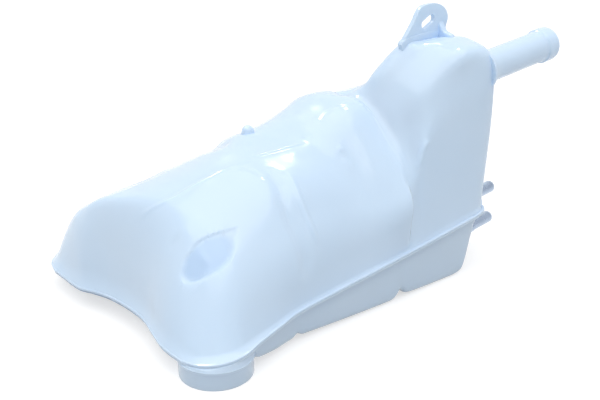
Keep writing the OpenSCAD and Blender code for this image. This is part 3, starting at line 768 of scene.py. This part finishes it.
# Upper shell
upper_pin_z = seam_z(RIGHT_END) + PIN_HEIGHT
lower_pin_z = upper_pin_z - PIN_SPACING
outer = smoothed(upper_face(0.0, RIM_HEIGHT, OUTER_STEP), 3)
inner = upper_face(WALL, 0.0, INNER_STEP, INNER_DENSITY, INNER_CORNER)
upper = shell("upper_shell_skin", outer, inner, RIM_HEIGHT, UPPER_FLARE)
add_small_forms(upper)
upper_boss = boss_solid("upper_boss", upper_pin_z, *UPPER_BOSS)
combine(upper, [spigot_solid(), nub_solid(), end_pad(), upper_boss] + ear_pieces(), "UNION")
upper_pin_bore = pin_bore("upper_pin_bore", upper_pin_z, UPPER_BOSS[0])
combine(upper, [spigot_bore(), slot_cutter(), upper_pin_bore], "DIFFERENCE")

# Lower shell
outer = smoothed(lower_face(0.0, -RIM_HEIGHT, OUTER_STEP), 3)
inner = lower_face(WALL, 0.0, INNER_STEP, INNER_DENSITY, INNER_CORNER)
lower = shell("lower_shell_skin", outer, inner, -RIM_HEIGHT, LOWER_FLARE)
combine(lower, [neck_plug()], "DIFFERENCE")
combine(lower, [neck_collar(), neck_solid(), boss_solid("lower_boss", lower_pin_z, *LOWER_BOSS)], "UNION")
combine(lower, [pin_bore("lower_pin_bore", lower_pin_z, LOWER_BOSS[0])], "DIFFERENCE")

for piece, solid in ((upper, "upper_shell"), (lower, "lower_shell")):
    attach(piece, "root")
    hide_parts(solid)


def node(tree, kind, **settings):
    """A node with its settings, each of them an attribute of the node or else the name of an input."""
    made = tree.nodes.new(kind)
    for key, value in settings.items():
        if hasattr(made, key):
            setattr(made, key, value)
        else:
            made.inputs[key.replace("_", " ").title()].default_value = value
    return made


def worked_surface_group():
    """Fine grain, soft waves and cloudy patches of a moulded or turned surface, for any material."""
    group = bpy.data.node_groups.new("worked_surface", "ShaderNodeTree")
    sockets = group.interface
    sockets.new_socket("Vector", in_out="INPUT", socket_type="NodeSocketVector")
    for name, value in (("Grain Size", 1.0), ("Grain Depth", 0.1), ("Wave Size", 20.0), ("Wave Depth", 0.5),
                        ("Patch Size", 60.0), ("Gloss Low", 0.2), ("Gloss High", 0.35)):
        sockets.new_socket(name, in_out="INPUT", socket_type="NodeSocketFloat").default_value = value
    for name in ("Height", "Patches", "Roughness"):
        sockets.new_socket(name, in_out="OUTPUT", socket_type="NodeSocketFloat")
    link = group.links.new
    given = group.nodes.new("NodeGroupInput")
    result = group.nodes.new("NodeGroupOutput")

    def noise(size, detail, distortion=0.0):
        scale = node(group, "ShaderNodeMath", operation="DIVIDE")
        scale.inputs[0].default_value = 1000.0
        link(given.outputs[size], scale.inputs[1])
        texture = node(group, "ShaderNodeTexNoise", detail=detail, distortion=distortion)
        link(given.outputs["Vector"], texture.inputs["Vector"])
        link(scale.outputs[0], texture.inputs["Scale"])
        return texture.outputs["Fac"]

    def spread(value):
        """Stretches a noise's values, which stay near the middle, over the range from 0 to 1."""
        stretch = node(group, "ShaderNodeMapRange", interpolation_type="SMOOTHSTEP")
        stretch.inputs["From Min"].default_value = 0.05
        stretch.inputs["From Max"].default_value = 0.95
        link(value, stretch.inputs["Value"])
        return stretch

    grain, wave, patch = noise("Grain Size", 2.0), noise("Wave Size", 0.0), noise("Patch Size", 1.0)
    deep = node(group, "ShaderNodeMath", operation="MULTIPLY")
    link(grain, deep.inputs[0])
    link(given.outputs["Grain Depth"], deep.inputs[1])
    height = node(group, "ShaderNodeMath", operation="MULTIPLY_ADD")
    link(wave, height.inputs[0])
    link(given.outputs["Wave Depth"], height.inputs[1])
    link(deep.outputs[0], height.inputs[2])
    link(height.outputs[0], result.inputs["Height"])
    link(spread(patch).outputs["Result"], result.inputs["Patches"])
    gloss = spread(wave)
    link(given.outputs["Gloss Low"], gloss.inputs["To Min"])
    link(given.outputs["Gloss High"], gloss.inputs["To Max"])
    link(gloss.outputs["Result"], result.inputs["Roughness"])
    return group


def surface_of(material, group, **values):
    """Puts the surface group into a material, on Object coordinates, with its height as a bump."""
    tree = material.node_tree
    place = tree.nodes.new("ShaderNodeTexCoord")
    surface = tree.nodes.new("ShaderNodeGroup")
    surface.node_tree = group
    for name, value in values.items():
        surface.inputs[name.replace("_", " ").title()].default_value = value
    tree.links.new(place.outputs["Object"], surface.inputs["Vector"])
    bump = node(tree, "ShaderNodeBump")
    bump.inputs["Distance"].default_value = 0.001
    bump.inputs["Strength"].default_value = 1.0
    shader = tree.nodes["Principled BSDF"]
    tree.links.new(surface.outputs["Height"], bump.inputs["Height"])
    tree.links.new(bump.outputs["Normal"], shader.inputs["Normal"])
    tree.links.new(surface.outputs["Roughness"], shader.inputs["Roughness"])
    return surface, shader


# Painted shade of the leaf-shaped recess, which darkens the plastic's colour there, and half the size of the
# place that it fills, in metres
RECESS_PAINTED_SHADE = (0.83, 0.88, 0.94)
RECESS_REACH = (0.0215, 0.0115, 0.02)


def painted_recess_shade(tree, colour):
    """Darkens a colour in the leaf-shaped recess: painted shade of the recess."""
    corners = np.asarray(LEAF, float) / 1000
    axes = np.linalg.svd(corners - corners.mean(0))[2]
    axes[2] *= np.sign(np.linalg.det(axes))
    place = node(tree, "ShaderNodeTexCoord")
    leaf = node(tree, "ShaderNodeMapping", vector_type="TEXTURE")
    leaf.inputs["Location"].default_value = corners.mean(0)
    leaf.inputs["Rotation"].default_value = Matrix(axes.T.tolist()).to_euler()
    leaf.inputs["Scale"].default_value = RECESS_REACH
    tree.links.new(place.outputs["Object"], leaf.inputs["Vector"])
    away = node(tree, "ShaderNodeVectorMath", operation="LENGTH")
    tree.links.new(leaf.outputs["Vector"], away.inputs[0])
    inside = node(tree, "ShaderNodeMapRange", interpolation_type="SMOOTHSTEP")
    for name, value in (("From Min", 1.0), ("From Max", 0.65), ("To Min", 0.0), ("To Max", 1.0)):
        inside.inputs[name].default_value = value
    tree.links.new(away.outputs["Value"], inside.inputs["Value"])
    shaded = node(tree, "ShaderNodeMix", data_type="RGBA", blend_type="MULTIPLY")
    shaded.inputs["B"].default_value = (*RECESS_PAINTED_SHADE, 1)
    tree.links.new(inside.outputs["Result"], shaded.inputs["Factor"])
    tree.links.new(colour, shaded.inputs["A"])
    return shaded.outputs["Result"]


def milky_plastic(name, clear, cloudy, group):
    """Natural polypropylene: pale, cloudy and softly glossy, with light spreading inside it, and painted
    shade in the leaf-shaped recess.
    """
    material = bpy.data.materials.new(name)
    material.use_nodes = True
    tree = material.node_tree
    surface, shader = surface_of(material, group, grain_size=0.9, grain_depth=0.01, wave_size=26.0,
                                 wave_depth=0.5, patch_size=70.0, gloss_low=0.1, gloss_high=0.2)
    blend = node(tree, "ShaderNodeMix", data_type="RGBA")
    blend.inputs["A"].default_value = (*clear, 1)
    blend.inputs["B"].default_value = (*cloudy, 1)
    tree.links.new(surface.outputs["Patches"], blend.inputs["Factor"])
    # Base colour, with painted shade darkening it in the leaf-shaped recess
    tree.links.new(painted_recess_shade(tree, blend.outputs["Result"]), shader.inputs["Base Color"])
    shader.inputs["IOR"].default_value = 1.49
    shader.inputs["Subsurface Weight"].default_value = 0.35
    shader.inputs["Subsurface Radius"].default_value = (1.0, 1.0, 1.0)
    shader.inputs["Subsurface Scale"].default_value = 0.004
    return material


def pin_metal(group):
    """Bare dull metal, clouded, whose gloss is paler where it is seen at a slant."""
    material = bpy.data.materials.new("pin_metal")
    material.use_nodes = True
    surface, shader = surface_of(material, group, grain_size=0.4, grain_depth=0.02, wave_size=4.0,
                                 wave_depth=0.05, patch_size=8.0, gloss_low=0.2, gloss_high=0.38)
    tree = material.node_tree
    blend = node(tree, "ShaderNodeMix", data_type="RGBA")
    blend.inputs["A"].default_value = (0.15, 0.2, 0.31, 1)
    blend.inputs["B"].default_value = (0.26, 0.33, 0.46, 1)
    tree.links.new(surface.outputs["Patches"], blend.inputs["Factor"])
    slant = node(tree, "ShaderNodeLayerWeight", blend=0.5)
    edges = node(tree, "ShaderNodeMix", data_type="RGBA")
    edges.inputs["B"].default_value = (0.62, 0.72, 0.84, 1)
    tree.links.new(slant.outputs["Facing"], edges.inputs["Factor"])
    tree.links.new(blend.outputs["Result"], edges.inputs["A"])
    tree.links.new(edges.outputs["Result"], shader.inputs["Base Color"])
    shader.inputs["Metallic"].default_value = 1.0
    return material


def shown_apart(tree, lighting, shown, output):
    """Gives one shader to the rays that light the tank, and another to those of camera, gloss and glass."""
    paths = node(tree, "ShaderNodeLightPath")
    seen = paths.outputs["Is Camera Ray"]
    for kind in ("Is Glossy Ray", "Is Transmission Ray"):
        either = node(tree, "ShaderNodeMath", operation="MAXIMUM")
        tree.links.new(seen, either.inputs[0])
        tree.links.new(paths.outputs[kind], either.inputs[1])
        seen = either.outputs[0]
    choice = node(tree, "ShaderNodeMixShader")
    for number, source in enumerate((seen, lighting.outputs[0], shown.outputs[0])):
        tree.links.new(source, choice.inputs[number])
    tree.links.new(choice.outputs[0], tree.nodes[output].inputs["Surface"])


def white_floor():
    """A pale floor that the camera, and what shines, sees white except in the tank's shadow."""
    material = bpy.data.materials.new("pale_floor")
    material.use_nodes = True
    tree = material.node_tree
    shader = tree.nodes["Principled BSDF"]
    shader.inputs["Base Color"].default_value = (0.56, 0.57, 0.58, 1)
    shader.inputs["Roughness"].default_value = 0.9
    shader.inputs["Specular IOR Level"].default_value = 0.0
    seen = node(tree, "ShaderNodeBsdfDiffuse")
    seen.inputs["Color"].default_value = (0.5, 0.5, 0.5, 1)
    glow = node(tree, "ShaderNodeEmission")
    glow.inputs["Strength"].default_value = 0.6
    both = node(tree, "ShaderNodeAddShader")
    tree.links.new(seen.outputs[0], both.inputs[0])
    tree.links.new(glow.outputs[0], both.inputs[1])
    shown_apart(tree, shader, both, "Material Output")
    return material


worked_surface = worked_surface_group()
milky_upper = milky_plastic("milky_plastic", (0.61, 0.77, 0.99), (0.64, 0.79, 1.0), worked_surface)
# The lower shell gets a darker, greyer copy of the same plastic: painted shade, for the lower shell lies in
# the tank's own shade
milky_lower_painted_shade = milky_plastic("milky_plastic_lower_painted_shade", (0.565, 0.7, 0.855), (0.6, 0.73, 0.88), worked_surface)
for piece, finish in ((upper, milky_upper), (lower, milky_lower_painted_shade)):
    piece.data.materials.clear()
    piece.data.materials.append(finish)
metal = pin_metal(worked_surface)
for name in ("upper_level_pin", "lower_level_pin"):
    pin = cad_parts[name]
    if pin.material_slots:
        for held in pin.material_slots:
            held.material = metal
    else:
        pin.data.materials.append(metal)

# Floor and lights
floor_mesh = bpy.data.meshes.new("floor")
floor_mesh.from_pydata([(-6, -6, 0), (6, -6, 0), (6, 6, 0), (-6, 6, 0)], [], [(0, 1, 2, 3)])
floor_mesh.materials.append(white_floor())
floor = bpy.data.objects.new("floor", floor_mesh)
bpy.context.scene.collection.objects.link(floor)

world = bpy.data.worlds.new("studio")
bpy.context.scene.world = world
world.use_nodes = True
tree = world.node_tree
background = tree.nodes["Background"]
background.inputs["Color"].default_value = (1, 1, 1, 1)
direction = node(tree, "ShaderNodeTexCoord")
split = node(tree, "ShaderNodeSeparateXYZ")
rise = node(tree, "ShaderNodeMapRange")
rise.inputs["To Min"].default_value, rise.inputs["To Max"].default_value = WORLD_LIGHT
tree.links.new(direction.outputs["Generated"], split.inputs[0])
tree.links.new(split.outputs["Z"], rise.inputs["Value"])
tree.links.new(rise.outputs["Result"], background.inputs["Strength"])
white = node(tree, "ShaderNodeBackground")
white.inputs["Color"].default_value = (1, 1, 1, 1)
shown_apart(tree, background, white, "World Output")


def spark(name, size, power, place, target):
    """A small square lamp of a size in metres, turned towards a target, that only shows as a highlight."""
    data = bpy.data.lights.new(name, "AREA")
    data.shape = "SQUARE"
    data.size = size
    data.energy = power
    lamp = bpy.data.objects.new(name, data)
    lamp.location = place
    lamp.rotation_euler = (Vector(target) - Vector(place)).to_track_quat("-Z", "Y").to_euler()
    lamp.visible_diffuse = False
    bpy.context.scene.collection.objects.link(lamp)


wide_data = bpy.data.lights.new("wide_light", "SUN")
wide_data.energy = WIDE_LIGHT
wide_data.angle = math.radians(70)
wide = bpy.data.objects.new("wide_light", wide_data)
wide.rotation_euler = (math.radians(10), math.radians(-14), 0)
bpy.context.scene.collection.objects.link(wide)
spark("left_spark", 0.12, 7.0, (0.1, 0.75, 1.19), TANK_MIDDLE)
spark("right_spark", 0.07, 1.4, (0.62, 0.3, 1.24), TANK_MIDDLE)
